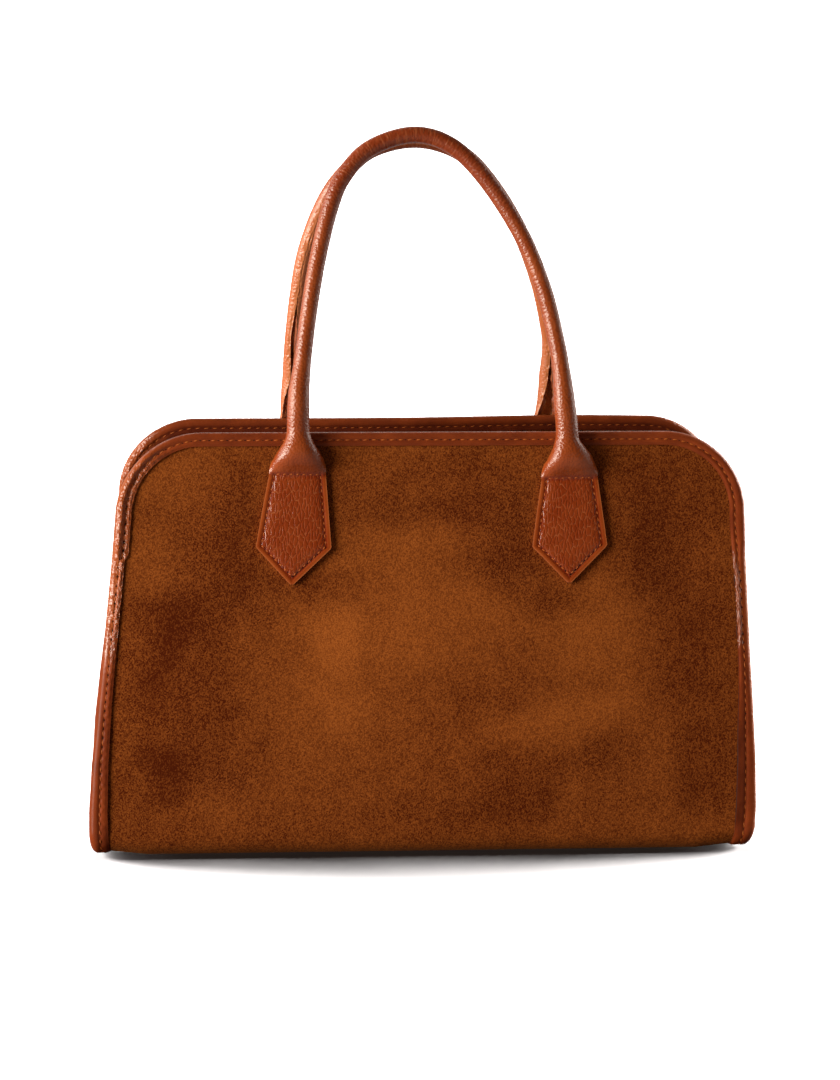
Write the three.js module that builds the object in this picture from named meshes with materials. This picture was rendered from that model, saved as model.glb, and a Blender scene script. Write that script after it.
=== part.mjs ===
// A soft suede handbag: one suede wrap, two side gussets, two edge bindings and two rolled handles.
// Millimetres, Z up, the front panel towards -Y, the origin on the floor under the middle of the base.
import * as THREE from "three";
import { mergeVertices } from "three/addons/utils/BufferGeometryUtils.js";

// The whole bag
const HEIGHT = 210;
const BASE_DEPTH = 140;
const BOTTOM_RADIUS = 9;
const LEAN = THREE.MathUtils.degToRad(11.3);
const SWAY_FRONT = 0.034;
const SWAY_BACK = 0.028;
const SWAY_HEIGHT = 210;
const SHIFT_X = -0.75;
const BELLY = 2.5;

// The two panels, by the side of the bag that they stand on
const FRONT = -1;
const BACK = 1;

// Leather thicknesses and the gap between neighbouring layers
const SUEDE = 2.0;
const GUSSET = 1.8;
const BINDING = 1.2;
const STRAP = 2.0;
const GAP = 0.3;

// Stations up the wall: "h" is the distance up the slanted panel, and runs on below it round the bend
// and along the base to the middle of the bag.
const BASE_FLAT = BASE_DEPTH / 2 - BOTTOM_RADIUS;
const BEND_ANGLE = Math.PI / 2 + LEAN;
const H_BEND_TOP = (BOTTOM_RADIUS * (1 + Math.sin(LEAN))) / Math.cos(LEAN);
const H_BEND_LOW = H_BEND_TOP - BOTTOM_RADIUS * BEND_ANGLE;
const H_MIDDLE = H_BEND_LOW - BASE_FLAT;
const H_TOP = HEIGHT / Math.cos(LEAN);
const H_GUSSET = 152;
const BEND_STATIONS = [0, 0.25, 0.5, 0.75, 1].map((t) => H_BEND_LOW + t * (H_BEND_TOP - H_BEND_LOW));
const SIDE_STATIONS = [20, 45, 75, 105, 130];

// Half of each panel's width at each station, to the outer edge of the binding
const HALF_WIDTH = [
  { h: -70, front: 166.6, back: 166.6 },
  { h: -5, front: 167.0, back: 167.0 },
  { h: 8, front: 168.6, back: 168.6 },
  { h: 20, front: 169.0, back: 169.0 },
  { h: 45, front: 168.4, back: 168.2 },
  { h: 75, front: 166.5, back: 165.8 },
  { h: 105, front: 164.2, back: 162.8 },
  { h: 150, front: 161.2, back: 159.0 },
  { h: 172, front: 160.1, back: 157.8 },
];
const CORNER_RADIUS = { front: 42.5, back: 40 };
const CORNER_STEPS = 8;
const EDGE_INSET = 3.6;

// The base turns up a little towards both ends, where the binding passes under it.
const END_LIFT = 2.7;
const END_START = 0.85;
const LIFT_FADE = 60;

// Visible width of the binding's outer leg at each station
const LEG_WIDTH = [
  { h: -70, leg: 9.4 },
  { h: 6, leg: 9.8 },
  { h: 50, leg: 8.2 },
  { h: 77, leg: 7.2 },
  { h: 105, leg: 6.7 },
  { h: 150, leg: 6.5 },
  { h: 214, leg: 7.2 },
];
const INNER_LEG = 7.6;
const GUSSET_INSET = 10.6;
const GUSSET_BOW = 7;
const GUSSET_COLUMNS = 6;

// One end of a handle strap, from the tab's point upwards: its splay away from the leg's line, its width,
// half of the angle that it is curled through, and its clearance from the wall.
const STRAP_END = [
  { h: 137.0, splay: 2.5, width: 1.8, curl: 0.02, clear: 0.3 },
  { h: 155.5, splay: 1.7, width: 38.2, curl: 0.03, clear: 0.3 },
  { h: 174.0, splay: 1.2, width: 33.6, curl: 0.04, clear: 0.3 },
  { h: 192.0, splay: 0.7, width: 29.0, curl: 0.08, clear: 0.3 },
  { h: 197.0, splay: 0.5, width: 28.6, curl: 0.4, clear: 0.4 },
  { h: 202.0, splay: 0.3, width: 27.2, curl: 1.0, clear: 1.2 },
  { h: 207.5, splay: 0.1, width: 24.6, curl: 1.5, clear: 2.1 },
  { h: 213.0, splay: 0.0, width: 22.4, curl: 2.1, clear: 2.2 },
  { h: 219.0, splay: 0.0, width: 21.6, curl: 2.32, clear: 2.2 },
  { h: 234.0, splay: -0.5, width: 21.4, curl: 2.4, clear: 2.2 },
];
const TUBE_WIDTH = 20.0;
const TUBE_CURL = 3.03;
const TUBE_CLEAR = 2.2;
const TUBE_STEPS = 2;
const STRAP_COLUMNS = 12;

// Each handle's two legs across the bag, and the middle line of its rolled arch between them, as x across
// the bag and h up the wall's plane.
const FRONT_STRAP = {
  left: -69.3,
  right: 67.7,
  arch: [
    [-66.7, 250], [-63.5, 274], [-58.8, 301], [-52.3, 327], [-45.4, 343], [-32, 357.3], [-10.4, 364.4],
    [8.5, 359.5], [24.9, 343.5], [42.8, 315], [54.3, 286], [60.7, 260], [63.9, 246],
  ],
};
const BACK_STRAP = {
  left: -68.6,
  right: 65.4,
  arch: [
    [-68.3, 250], [-66.2, 275], [-61.9, 302], [-53.1, 327], [-42.9, 343], [-28.4, 356], [-6.4, 361.2],
    [15.1, 355.5], [30.9, 341], [47.7, 315], [59.3, 286], [65.5, 260], [66.6, 248],
  ],
};

// Value of a named column at h, read off a table by straight lines between its rows.
function column(table, name, h) {
  let row = 0;
  while (row < table.length - 2 && table[row + 1].h < h) row += 1;
  const low = table[row];
  const high = table[row + 1];
  const t = THREE.MathUtils.clamp((h - low.h) / (high.h - low.h), 0, 1);
  return THREE.MathUtils.lerp(low[name], high[name], t);
}

// Where a panel's top corners begin: their radius, the station of their centre and half the straight top.
function corner(side) {
  const panel = side === FRONT ? "front" : "back";
  const radius = CORNER_RADIUS[panel];
  return { radius, h: H_TOP - radius, straight: column(HALF_WIDTH, panel, H_TOP - radius) - radius };
}

// Half width of a panel's outline at h, drawn in from the binding's outer edge by "inset".
function halfWidth(side, h, inset) {
  const { radius, h: start, straight } = corner(side);
  if (h <= start) return column(HALF_WIDTH, side === FRONT ? "front" : "back", h) - inset;
  return straight + Math.sqrt(Math.max(0, (radius - inset) ** 2 - (h - start) ** 2));
}

// Soft outward swell of a panel.
function belly(side, x, h) {
  if (h <= 0 || h >= H_TOP) return 0;
  const across = Math.max(0, 1 - (x / halfWidth(side, h, 0)) ** 2);
  return BELLY * Math.sin((Math.PI * h) / H_TOP) * across;
}

// Upward turn of the base's ends, fading out up the panel.
function endLift(side, x, h) {
  if (h > H_BEND_TOP + LIFT_FADE) return 0;
  const fade = Math.min(1, 1 - (h - H_BEND_TOP) / LIFT_FADE);
  const ramp = Math.max(0, Math.abs(x) / halfWidth(side, h, EDGE_INSET) - END_START) / (1 - END_START);
  return END_LIFT * ramp * fade;
}

// The point of space at x across the bag and h up the wall, "out" from the suede's outer face.
function onWall(side, x, h, out) {
  let depth = h - H_MIDDLE;
  let z = 0;
  let facing = -Math.PI / 2;
  if (h > H_BEND_LOW) {
    const turn = Math.min(BEND_ANGLE, (h - H_BEND_LOW) / BOTTOM_RADIUS);
    const up = Math.max(0, h - H_BEND_TOP);
    facing += turn;
    depth = BASE_FLAT + BOTTOM_RADIUS * Math.cos(facing) - up * Math.sin(LEAN);
    z = BOTTOM_RADIUS + BOTTOM_RADIUS * Math.sin(facing) + up * Math.cos(LEAN);
  }
  const away = out + belly(side, x, h);
  depth += away * Math.cos(facing);
  z += away * Math.sin(facing) + endLift(side, x, h);
  const sway = (side === FRONT ? SWAY_FRONT : SWAY_BACK) * Math.min(z, SWAY_HEIGHT);
  return [x + sway + SHIFT_X, side * depth, z];
}

// A closed sheet: two grids of points, one for each face, joined round the rim.
function sheet(rows, columns, point) {
  const positions = [];
  const faces = [];
  const id = (face, row, col) => (face * (rows + 1) + row) * (columns + 1) + col;
  for (const face of [0, 1]) {
    for (let row = 0; row <= rows; row += 1) {
      for (let col = 0; col <= columns; col += 1) positions.push(...point(row, col, face));
    }
  }
  const quad = (a, b, c, d) => faces.push([a, b, c], [a, c, d]);
  for (let row = 0; row < rows; row += 1) {
    for (let col = 0; col < columns; col += 1) {
      quad(id(0, row, col), id(0, row, col + 1), id(0, row + 1, col + 1), id(0, row + 1, col));
      quad(id(1, row, col), id(1, row + 1, col), id(1, row + 1, col + 1), id(1, row, col + 1));
    }
    quad(id(0, row, 0), id(0, row + 1, 0), id(1, row + 1, 0), id(1, row, 0));
    quad(id(0, row + 1, columns), id(0, row, columns), id(1, row, columns), id(1, row + 1, columns));
  }
  for (let col = 0; col < columns; col += 1) {
    quad(id(0, 0, col + 1), id(0, 0, col), id(1, 0, col), id(1, 0, col + 1));
    quad(id(0, rows, col), id(0, rows, col + 1), id(1, rows, col + 1), id(1, rows, col));
  }
  return closed(positions, faces);
}

// Geometry from points and triangles: corners merged, empty triangles dropped, faces turned outwards.
function closed(positions, faces) {
  const loose = new THREE.BufferGeometry();
  loose.setAttribute("position", new THREE.Float32BufferAttribute(positions, 3));
  loose.setIndex(faces.flat());
  const geometry = mergeVertices(loose, 1e-3);
  const index = geometry.getIndex();
  const at = (i) => new THREE.Vector3().fromBufferAttribute(geometry.getAttribute("position"), i);
  const kept = [];
  let volume = 0;
  for (let i = 0; i < index.count; i += 3) {
    const [a, b, c] = [index.getX(i), index.getX(i + 1), index.getX(i + 2)];
    if (a === b || b === c || c === a) continue;
    kept.push([a, b, c]);
    volume += at(a).dot(at(b).cross(at(c)));
  }
  geometry.setIndex(kept.flatMap(([a, b, c]) => (volume > 0 ? [a, b, c] : [a, c, b])));
  geometry.computeVertexNormals();
  return geometry;
}

// Stations round a top corner, as angles from level to upright.
const cornerAngles = Array.from({ length: CORNER_STEPS + 1 }, (_, i) => (i / CORNER_STEPS) * (Math.PI / 2));

// The suede wrap, row by row from the front's top edge under the bag to the back's top edge.
function bodyGeometry() {
  const panelRows = (side) => {
    const { radius, h: start } = corner(side);
    const bends = cornerAngles.map((angle) => start + (radius - EDGE_INSET) * Math.sin(angle));
    return [...BEND_STATIONS, ...SIDE_STATIONS, H_GUSSET, ...bends].map((h) => ({ side, h }));
  };
  const rows = [...panelRows(FRONT).reverse(), { side: FRONT, h: H_MIDDLE }, ...panelRows(BACK)];
  const across = [-1, -END_START, -0.6, -0.3, 0, 0.3, 0.6, END_START, 1];
  return sheet(rows.length - 1, across.length - 1, (row, col, face) => {
    const { side, h } = rows[row];
    return onWall(side, across[col] * halfWidth(side, h, EDGE_INSET), h, face === 0 ? 0 : -SUEDE);
  });
}

// A side gusset: a soft tray with its rim turned outwards along both panels and the base.
function gussetGeometry(end) {
  const rows = [...BEND_STATIONS, ...SIDE_STATIONS, H_GUSSET];
  const columns = GUSSET_COLUMNS + 2;
  return sheet(rows.length, columns, (row, col, face) => {
    const out = -SUEDE - GAP - (face === 0 ? 0 : GUSSET);
    const inset = GUSSET_INSET + (face === 0 ? GUSSET : 0);
    const h = rows[Math.max(0, row - 1)];
    const tip = (side) => end * (halfWidth(side, h, EDGE_INSET) - 0.2);
    const root = (side) => end * halfWidth(side, h, inset);
    const t = THREE.MathUtils.clamp((col - 1) / GUSSET_COLUMNS, 0, 1);
    if (row === 0) {
      const y = (2 * t - 1) * BASE_FLAT;
      const side = y < 0 ? FRONT : BACK;
      return onWall(side, tip(side), H_MIDDLE + Math.abs(y), out);
    }
    if (col === 0) return onWall(FRONT, tip(FRONT), h, out);
    if (col === columns) return onWall(BACK, tip(BACK), h, out);
    const front = onWall(FRONT, root(FRONT), h, out);
    const back = onWall(BACK, root(BACK), h, out);
    const bow = GUSSET_BOW * Math.max(0, h / H_GUSSET) * (1 - (2 * t - 1) ** 2);
    const [across, depth, up] = front.map((value, axis) => THREE.MathUtils.lerp(value, back[axis], t));
    return [across - end * bow, depth, up];
  });
}

// Stations of a binding along its panel's edge: place on its outer edge and the direction out of the panel.
function bindingStations(side) {
  const { radius, h: start, straight } = corner(side);
  const lower = [H_MIDDLE + GAP / 2, ...BEND_STATIONS, ...SIDE_STATIONS, H_GUSSET + 1.5, H_GUSSET + 8];
  const right = lower.map((h) => ({ x: halfWidth(side, h, 0), h, across: 1, up: 0 }));
  for (const angle of cornerAngles) {
    const [across, up] = [Math.cos(angle), Math.sin(angle)];
    right.push({ x: straight + radius * across, h: start + radius * up, across, up });
  }
  const left = right.map((station) => ({ ...station, x: -station.x, across: -station.across }));
  const top = [0.5, 0, -0.5].map((t) => ({ x: t * straight, h: H_TOP, across: 0, up: 1 }));
  return [...right, ...top, ...left.reverse()];
}

// An edge binding: a strip folded over the panel's edge, and below the gusset's top over its rim as well.
function bindingGeometry(side) {
  const stations = bindingStations(side);
  const turns = [90, 45, 0, -45, -90].map(THREE.MathUtils.degToRad);
  const columns = turns.length + 1;
  return sheet(stations.length - 1, columns, (row, col, face) => {
    const { x, h, across, up } = stations[row];
    const layers = h < H_GUSSET + 5 ? SUEDE + GAP + GUSSET : SUEDE;
    const outer = layers / 2 + GAP + BINDING;
    const radius = face === 0 ? outer : outer - BINDING;
    const turn = turns[THREE.MathUtils.clamp(col - 1, 0, turns.length - 1)];
    let inset = outer - radius * Math.cos(turn);
    if (col === 0) inset = column(LEG_WIDTH, "leg", h);
    if (col === columns) inset = INNER_LEG;
    return onWall(side, x - inset * across, h - inset * up, -layers / 2 + radius * Math.sin(turn));
  });
}

// Stations of a handle strap from one tab's point to the other's.
function strapStations(strap) {
  const { arch } = strap;
  const left = STRAP_END.map((row) => ({ ...row, x: strap.left - row.splay }));
  const right = STRAP_END.map((row) => ({ ...row, x: strap.right + row.splay })).reverse();
  const ends = [left.at(-1), right[0]].map(({ x, h }) => [x, h]);
  const line = new THREE.CatmullRomCurve3(
    [ends[0], ...arch, ends[1]].map(([x, h]) => new THREE.Vector3(x, h, 0)), false, "centripetal");
  const steps = TUBE_STEPS * (arch.length + 1);
  const tube = [];
  for (let step = TUBE_STEPS; step <= steps - TUBE_STEPS; step += 1) {
    const { x, y } = line.getPoint(step / steps);
    tube.push({ x, h: y, width: TUBE_WIDTH, curl: TUBE_CURL, clear: TUBE_CLEAR });
  }
  const stations = [...left, ...tube, ...right];
  return stations.map((station, i) => {
    const before = stations[Math.max(0, i - 1)];
    const after = stations[Math.min(stations.length - 1, i + 1)];
    const along = new THREE.Vector2(after.x - before.x, after.h - before.h).normalize();
    return { ...station, across: along.y, up: -along.x };
  });
}

// A handle: one strap, flat in its tabs and curled edge to edge into a tube, with the slit facing inwards.
function handleGeometry(side, strap) {
  const stations = strapStations(strap);
  return sheet(stations.length - 1, STRAP_COLUMNS, (row, col, face) => {
    const { x, h, width, curl, clear, across, up } = stations[row];
    const middle = width / (2 * curl);
    const radius = middle + (face === 0 ? STRAP / 2 : -STRAP / 2);
    const turn = curl * ((2 * col) / STRAP_COLUMNS - 1);
    const sideways = radius * Math.sin(turn);
    const out = clear + STRAP / 2 - middle * Math.cos(curl) + radius * Math.cos(turn);
    return onWall(side, x + sideways * across, h + sideways * up, out);
  });
}

function piece(name, geometry, color, roughness) {
  const mesh = new THREE.Mesh(geometry, new THREE.MeshStandardMaterial({ color, roughness }));
  mesh.name = name;
  return mesh;
}

const SUEDE_COLOUR = 0x7a3b14;
const LEATHER_COLOUR = 0x763010;

const bag = new THREE.Group();
bag.name = "suede_handbag";
bag.add(
  piece("body", bodyGeometry(), SUEDE_COLOUR, 0.95),
  piece("left_gusset", gussetGeometry(-1), SUEDE_COLOUR, 0.95),
  piece("right_gusset", gussetGeometry(1), SUEDE_COLOUR, 0.95),
  piece("front_binding", bindingGeometry(FRONT), LEATHER_COLOUR, 0.5),
  piece("back_binding", bindingGeometry(BACK), LEATHER_COLOUR, 0.5),
  piece("front_handle", handleGeometry(FRONT, FRONT_STRAP), LEATHER_COLOUR, 0.5),
  piece("back_handle", handleGeometry(BACK, BACK_STRAP), LEATHER_COLOUR, 0.5),
);

export default bag;
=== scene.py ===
# %% [markdown]
# # A suede handbag with rolled leather handles
# The bag is one suede wrap that runs from the front's top edge down, under the base and up the back. Two
# gussets close its ends, a folded leather binding runs round the edge of each panel, and each handle is a
# single leather strap: flat where it is sewn to the panel, and rolled into a tube where a hand holds it. The
# solids of the bag are loaded first, in metres. Every piece that is made below stands where its solid
# stands.

# %% Load the solids
import math
import random

import bmesh
import bpy
import numpy as np
from mathutils import Matrix, Quaternion, Vector, noise


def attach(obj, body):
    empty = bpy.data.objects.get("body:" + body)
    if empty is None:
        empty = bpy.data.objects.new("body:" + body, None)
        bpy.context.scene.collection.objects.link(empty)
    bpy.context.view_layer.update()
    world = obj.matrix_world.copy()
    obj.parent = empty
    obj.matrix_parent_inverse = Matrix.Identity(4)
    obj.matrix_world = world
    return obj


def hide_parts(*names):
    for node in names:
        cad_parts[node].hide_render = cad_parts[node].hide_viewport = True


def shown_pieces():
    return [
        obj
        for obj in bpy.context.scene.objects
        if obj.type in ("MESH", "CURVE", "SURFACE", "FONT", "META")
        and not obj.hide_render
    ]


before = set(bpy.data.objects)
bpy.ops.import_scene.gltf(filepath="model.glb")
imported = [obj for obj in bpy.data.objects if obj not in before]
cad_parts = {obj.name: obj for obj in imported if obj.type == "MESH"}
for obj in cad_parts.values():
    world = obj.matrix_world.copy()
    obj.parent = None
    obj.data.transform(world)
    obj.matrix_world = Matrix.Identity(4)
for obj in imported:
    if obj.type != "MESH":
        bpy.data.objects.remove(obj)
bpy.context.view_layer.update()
scene = bpy.context.scene
print("solids:", sorted(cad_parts))

# %% [markdown]
# ## The camera
# A long lens a little to the left of the bag's middle and a little above it gives the quiet, almost flat
# view of a product picture. The place of the camera is worked out from two angles and a distance, which are
# easier to read than three coordinates. The picture is taller than wide, so the sensor's 36 mm lie along its
# height.

# %% Camera
AIM = Vector((0.00185, 0.0, 0.1496))
AZIMUTH = math.radians(-4.5)
ELEVATION = math.radians(9.0)
TILT = math.radians(0.35)
DISTANCE = 1.8
LENS, SENSOR = 115.8, 36.0

level = math.cos(ELEVATION)
towards_eye = Vector((math.sin(AZIMUTH) * level, -math.cos(AZIMUTH) * level, math.sin(ELEVATION)))
camera = bpy.data.objects.new("camera", bpy.data.cameras.new("camera"))
camera.data.lens = LENS
camera.data.sensor_width = SENSOR
camera.location = AIM + DISTANCE * towards_eye
camera.rotation_mode = "QUATERNION"
camera.rotation_quaternion = (-towards_eye).to_track_quat("-Z", "Y") @ Quaternion((0, 0, 1), TILT)
scene.collection.objects.link(camera)
scene.camera = camera
scene.view_settings.view_transform = "Standard"
print("camera at", [round(value, 3) for value in camera.location])

# %% [markdown]
# ## One wall for everything
# Leather goods are drawn flat before they are sewn. The same is done here: a point is given by x across the
# panel and h up its slant, with h running on below the panel round the bottom bend and along the base. One
# function then folds that flat point into the standing bag. The wrap, the gussets' rims, the bindings, the
# handles and all the stitches go through it, so that they lie on each other by themselves. Sizes are in
# millimetres until this function turns them into metres.

# %% Sizes of the bag
MM = 0.001
FRONT, BACK = -1, 1
LEFT, RIGHT = -1, 1
PANELS = ((FRONT, "front"), (BACK, "back"))
ENDS = ((LEFT, "left"), (RIGHT, "right"))

HEIGHT = 210.0
BASE_FLAT = 61.0
BOTTOM_RADIUS = 9.0
LEAN = math.radians(11.3)
SWAY = {FRONT: 0.034, BACK: 0.028}
SHIFT_X = -0.75
EDGE_INSET = 3.6
CORNER_RADIUS = {FRONT: 42.5, BACK: 40.0}
SUEDE, GUSSET, BINDING, STRAP, GAP = 2.0, 1.8, 1.2, 2.0, 0.3

BEND_ANGLE = math.pi / 2 + LEAN
H_BEND_TOP = BOTTOM_RADIUS * (1 + math.sin(LEAN)) / math.cos(LEAN)
H_BEND_LOW = H_BEND_TOP - BOTTOM_RADIUS * BEND_ANGLE
H_MIDDLE = H_BEND_LOW - BASE_FLAT
H_TOP = HEIGHT / math.cos(LEAN)
H_GUSSET = 152.0

# Half of each panel's width at stations up the wall, to the outer edge of the binding
WIDTH_H = (-70, -5, 8, 20, 45, 75, 105, 150, 172)
HALF_WIDTH = {
    FRONT: (166.6, 167.0, 168.6, 169.0, 168.4, 166.5, 164.2, 161.2, 160.1),
    BACK: (166.6, 167.0, 168.6, 169.0, 168.2, 165.8, 162.8, 159.0, 157.8),
}


def eased(low, high, value):
    """0 below low, 1 above high, and a soft rise between them."""
    t = min(1.0, max(0.0, (value - low) / (high - low)))
    return t * t * (3 - 2 * t)


def bell(distance, reach):
    """A soft bump: 1 in its middle and close to 0 at twice its reach."""
    return math.exp(-((distance / reach) ** 2))


def corner(side):
    """Radius of a panel's top corners, the station of their centres and half of the straight top edge."""
    radius = CORNER_RADIUS[side]
    start = H_TOP - radius
    return radius, start, float(np.interp(start, WIDTH_H, HALF_WIDTH[side])) - radius


CORNERS = {side: corner(side) for side in (FRONT, BACK)}


def half_width(side, h, inset):
    """Half width of a panel's outline at h, drawn in from the binding's outer edge."""
    radius, start, straight = CORNERS[side]
    if h <= start:
        return float(np.interp(h, WIDTH_H, HALF_WIDTH[side])) - inset
    return straight + math.sqrt(max(0.0, (radius - inset) ** 2 - (h - start) ** 2))


print("panel height up the slant:", round(H_TOP, 1), "mm")

# %% [markdown]
# ## How the wall swells
# Suede this thick stands up by itself, but it isn't flat: the panel swells in its middle, sinks between the
# sewn tabs, and shows where the board in the base ends. The base's two ends turn up a little, and the back's
# top edge rises in a slight wave. These swells are soft hills and hollows, listed by place, reach and
# height. They could be sculpted by hand; a short list is easier to change and gives the same wall every
# time.

# %% Folding the flat drawing into the bag
# Soft hills and hollows of the two panels: x and h of the middle, reach across and up, height
SWELLS = {
    FRONT: (
        (-118, 96, 34, 40, 0.9), (-64, 120, 40, 26, -0.7), (20, 118, 60, 30, 0.8), (104, 92, 36, 44, -0.8),
        (66, 58, 44, 16, 0.7), (-40, 52, 50, 20, -0.6), (0, 172, 34, 26, -1.0), (128, 150, 22, 34, -0.9),
        (-126, 168, 20, 30, -0.9), (30, 30, 60, 14, 0.5),
    ),
    BACK: (
        (-100, 110, 44, 40, 0.9), (-20, 80, 50, 34, -0.9), (70, 120, 44, 40, 0.8), (110, 60, 36, 30, -0.7),
        (0, 170, 36, 26, -1.0), (-120, 50, 34, 30, -0.6),
    ),
}
BELLY = 2.5
BOARD_H, BOARD_REACH, BOARD_RISE = 13.5, 1.5, 0.45
BOARD_HALF, BOARD_FADE = 118.0, 22.0
END_LIFT, END_START, LIFT_FADE = 2.7, 0.85, 60.0
BACK_RISE, RISE_X, RISE_REACH = 1.25, 78.0, 60.0


def swell(side, x, h):
    """How far the suede stands out of the panel's plane."""
    if h <= 0 or h >= H_TOP:
        return 0.0
    share = x / half_width(side, h, 0)
    rise = BELLY * math.sin(math.pi * h / H_TOP) * max(0.0, 1 - share * share)
    for at_x, at_h, reach_x, reach_h, height in SWELLS[side]:
        rise += height * bell(x - at_x, reach_x) * bell(h - at_h, reach_h)
    edge_of_board = 1 - eased(BOARD_HALF, BOARD_HALF + BOARD_FADE, abs(x))
    return rise + BOARD_RISE * bell(h - BOARD_H, BOARD_REACH) * edge_of_board


def end_lift(side, x, h):
    """Upward turn of the base's two ends, fading out up the panel."""
    if h > H_BEND_TOP + LIFT_FADE:
        return 0.0
    fade = min(1.0, 1 - (h - H_BEND_TOP) / LIFT_FADE)
    ramp = max(0.0, abs(x) / half_width(side, h, EDGE_INSET) - END_START) / (1 - END_START)
    return END_LIFT * ramp * fade


def edge_rise(side, x, h):
    """Upward wave of the back panel's top edge, right of its middle."""
    if side == FRONT:
        return 0.0
    return BACK_RISE * bell(x - RISE_X, RISE_REACH) * bell(h - H_TOP, RISE_REACH)


def on_wall(side, x, h, out=0.0):
    """The point in metres at x across the bag and h up the wall, out from the suede's outer face."""
    depth, z, facing = h - H_MIDDLE, 0.0, -math.pi / 2
    if h > H_BEND_LOW:
        facing += min(BEND_ANGLE, (h - H_BEND_LOW) / BOTTOM_RADIUS)
        up = max(0.0, h - H_BEND_TOP)
        depth = BASE_FLAT + BOTTOM_RADIUS * math.cos(facing) - up * math.sin(LEAN)
        z = BOTTOM_RADIUS + BOTTOM_RADIUS * math.sin(facing) + up * math.cos(LEAN)
    away = out + swell(side, x, h)
    depth += away * math.cos(facing)
    z += away * math.sin(facing) + end_lift(side, x, h) + edge_rise(side, x, h)
    sway = SWAY[side] * min(z, HEIGHT)
    return Vector((x + sway + SHIFT_X, side * depth, z)) * MM


print("front panel's middle:", [round(value, 4) for value in on_wall(FRONT, 0, 100)])

# %% [markdown]
# ## Shader sums in Python
# A finish is a small sum of patterns: grain plus fibres minus creases. In the node editor each sum would be
# a chain of Math nodes. The class below wraps one socket, so that the sum can be written as it is spoken and
# the nodes are added by themselves. Every other node comes from one method, which sets the node's options
# before its sockets. Three short methods fetch what the patterns are laid on: the flat cut of a piece, its
# place in the bag, and the numbers that are kept with its mesh.


# %% A socket that can be added and multiplied
class Field:
    """A value that varies over a surface, in one material's node tree."""

    def __init__(self, tree, socket=None):
        self.tree = tree
        self.socket = socket

    def node(self, kind, settings, sockets, out=0):
        made = self.tree.nodes.new(kind)
        for name, value in settings.items():
            setattr(made, name, value)
        for name, value in sockets.items():
            if isinstance(value, Field):
                self.tree.links.new(value.socket, made.inputs[name])
            else:
                made.inputs[name].default_value = value
        return Field(self.tree, made.outputs[out])

    def maths(self, operation, first, second):
        return self.node("ShaderNodeMath", {"operation": operation}, {0: first, 1: second})

    def __add__(self, other):
        return self.maths("ADD", self, other)

    __radd__ = __add__

    def __sub__(self, other):
        return self.maths("SUBTRACT", self, other)

    def __rsub__(self, other):
        return self.maths("SUBTRACT", other, self)

    def __mul__(self, other):
        return self.maths("MULTIPLY", self, other)

    __rmul__ = __mul__

    def between(self, low, high):
        """0 where this value is below low, 1 above high, and a soft rise between them."""
        spread = {"Value": self, "From Min": low, "From Max": high}
        return self.node("ShaderNodeMapRange", {"interpolation_type": "SMOOTHSTEP"}, spread)

    def tint(self, first, second):
        """A colour that goes from first to second as this value goes from 0 to 1."""
        return self.node("ShaderNodeMix", {"data_type": "RGBA"}, {0: self, 6: first, 7: second}, 2)

    def feeds(self, node, name):
        self.tree.links.new(self.socket, node.inputs[name])

    def cut(self):
        return self.node("ShaderNodeUVMap", {"uv_map": "cut"}, {})

    def place(self):
        return self.node("ShaderNodeTexCoord", {}, {}, "Object")

    def kept(self, word):
        return self.node("ShaderNodeAttribute", {"attribute_name": word}, {}, "Fac")


def new_finish(name, settings):
    """A material with its shader's constant values set: the material, a field to start from, the shader."""
    material = bpy.data.materials.new(name)
    material.use_nodes = True
    tree = material.node_tree
    surface = tree.nodes["Principled BSDF"]
    for socket, value in settings.items():
        surface.inputs[socket].default_value = value
    return material, Field(tree), surface


def laid(pattern, stretch, turn):
    """Coordinates that draw a pattern out and turn it."""
    sockets = {"Vector": pattern, "Scale": stretch, "Rotation": (0, 0, turn)}
    return pattern.node("ShaderNodeMapping", {}, sockets)


def speckle(pattern, scale, detail, stretch=(1, 1, 1), turn=0.0):
    """Noise in spots of about 1 / scale metres."""
    sockets = {"Vector": laid(pattern, stretch, turn), "Scale": scale, "Detail": detail}
    return pattern.node("ShaderNodeTexNoise", {}, sockets)


def cells(pattern, scale, settings, sockets, out=0):
    """Voronoi cells of about 1 / scale metres."""
    flat = {"voronoi_dimensions": "2D", **settings}
    return pattern.node("ShaderNodeTexVoronoi", flat, {"Vector": pattern, "Scale": scale, **sockets}, out)


def set_bump(height, surface, strength, distance):
    """Raises the surface by a height that is given from 0 to 1."""
    bump = height.node("ShaderNodeBump", {}, {"Height": height, "Strength": strength, "Distance": distance})
    bump.feeds(surface, "Normal")
    return bump


print("shader helpers ready")

# %% [markdown]
# ## The suede
# Suede is the split side of a hide, brushed to a nap of short fibres. It has almost no gloss. What it has is
# tone: where a hand brushed the nap down it looks light, where the nap stands up it looks dark, and the
# patches have soft, smudged edges. The patches are kept with the mesh as one number for each corner, called
# nap_and_shade, because one wide dark patch on the front's left is painted shade, not nap. The shader adds
# the
# fibres: cells of half a millimetre with a tone each, softer specks, and strokes of a few millimetres. The
# thin bloom that suede shows at its edges is the shader's sheen.

# %% Suede finish
NAP_DARK = (0.062, 0.0075, 0.0008, 1)
NAP_LIGHT = (0.350, 0.0865, 0.0127, 1)
NAP_SHEEN = {"Sheen Weight": 0.12, "Sheen Roughness": 0.5, "Sheen Tint": (0.9, 0.36, 0.10, 1)}
# The suede's patterns, in spots to a metre
FIBRES, PILE, CLUMPS, STROKES = 2200.0, 1500.0, 420.0, 120.0


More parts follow.
